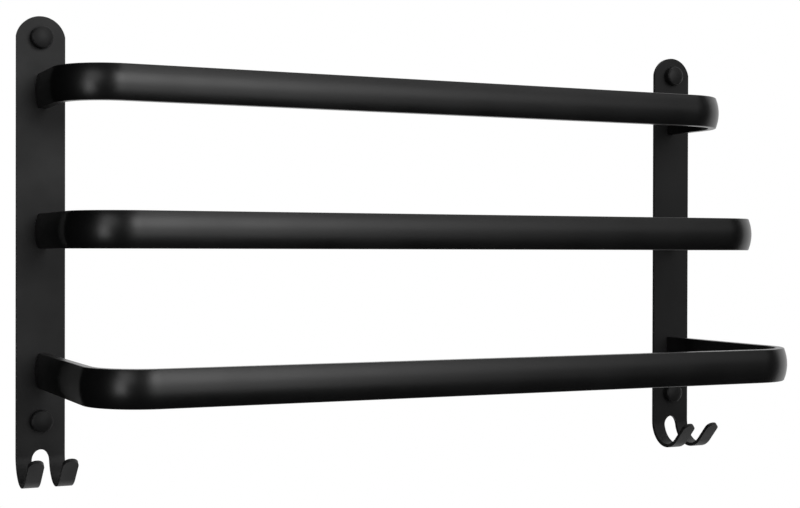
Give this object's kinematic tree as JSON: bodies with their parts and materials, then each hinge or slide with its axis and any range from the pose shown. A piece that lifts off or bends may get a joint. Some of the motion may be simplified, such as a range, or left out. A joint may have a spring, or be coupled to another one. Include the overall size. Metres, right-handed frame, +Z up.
{
  "type": "ladder towel rack",
  "caption": "Wall-mounted ladder towel rack: U-shaped crowned flat bars reaching further out towards the bottom, on flat wall plates ending in paired hooks.",
  "frame": {"origin": "centre of the rectangle of four wall screw holes, on the plane of the wall behind the plates", "axes": "+X along the towel bars to the right as seen from the front, +Y into the wall, +Z up"},
  "size_m": [0.601, 0.1855, 0.3468],
  "materials": {
    "plate_coating": "satin black powder coating",
    "bar_coating": "satin black powder coating",
    "insert_metal": "plain machined steel",
    "screw_steel": "zinc-plated steel",
    "seat_plastic": "plain moulded plastic",
    "cap_plastic": "satin moulded plastic"
  },
  "bodies": {
    "rack": {"left_plate": "plate_coating", "right_plate": "plate_coating", "top_bar": "bar_coating", "middle_bar": "bar_coating", "bottom_bar": "bar_coating", "top_bar_left_insert": "insert_metal", "top_bar_right_insert": "insert_metal", "middle_bar_left_insert": "insert_metal", "middle_bar_right_insert": "insert_metal", "bottom_bar_left_insert": "insert_metal", "bottom_bar_right_insert": "insert_metal", "top_bar_left_screw": "screw_steel", "top_bar_right_screw": "screw_steel", "middle_bar_left_screw": "screw_steel", "middle_bar_right_screw": "screw_steel", "bottom_bar_left_screw": "screw_steel", "bottom_bar_right_screw": "screw_steel", "top_left_cap_seat": "seat_plastic", "top_right_cap_seat": "seat_plastic", "bottom_left_cap_seat": "seat_plastic", "bottom_right_cap_seat": "seat_plastic"},
    "top_left_cap": {"top_left_cap": "cap_plastic"},
    "top_right_cap": {"top_right_cap": "cap_plastic"},
    "bottom_left_cap": {"bottom_left_cap": "cap_plastic"},
    "bottom_right_cap": {"bottom_right_cap": "cap_plastic"}
  },
  "joints": [
    {"name": "top_left_cap_pull", "type": "slide", "parent": "rack", "child": "top_left_cap", "axis": [0, -1, 0], "range_m": [0, 0.02]},
    {"name": "top_right_cap_pull", "type": "slide", "parent": "rack", "child": "top_right_cap", "axis": [0, -1, 0], "range_m": [0, 0.02]},
    {"name": "bottom_left_cap_pull", "type": "slide", "parent": "rack", "child": "bottom_left_cap", "axis": [0, -1, 0], "range_m": [0, 0.02]},
    {"name": "bottom_right_cap_pull", "type": "slide", "parent": "rack", "child": "bottom_right_cap", "axis": [0, -1, 0], "range_m": [0, 0.02]}
  ]
}
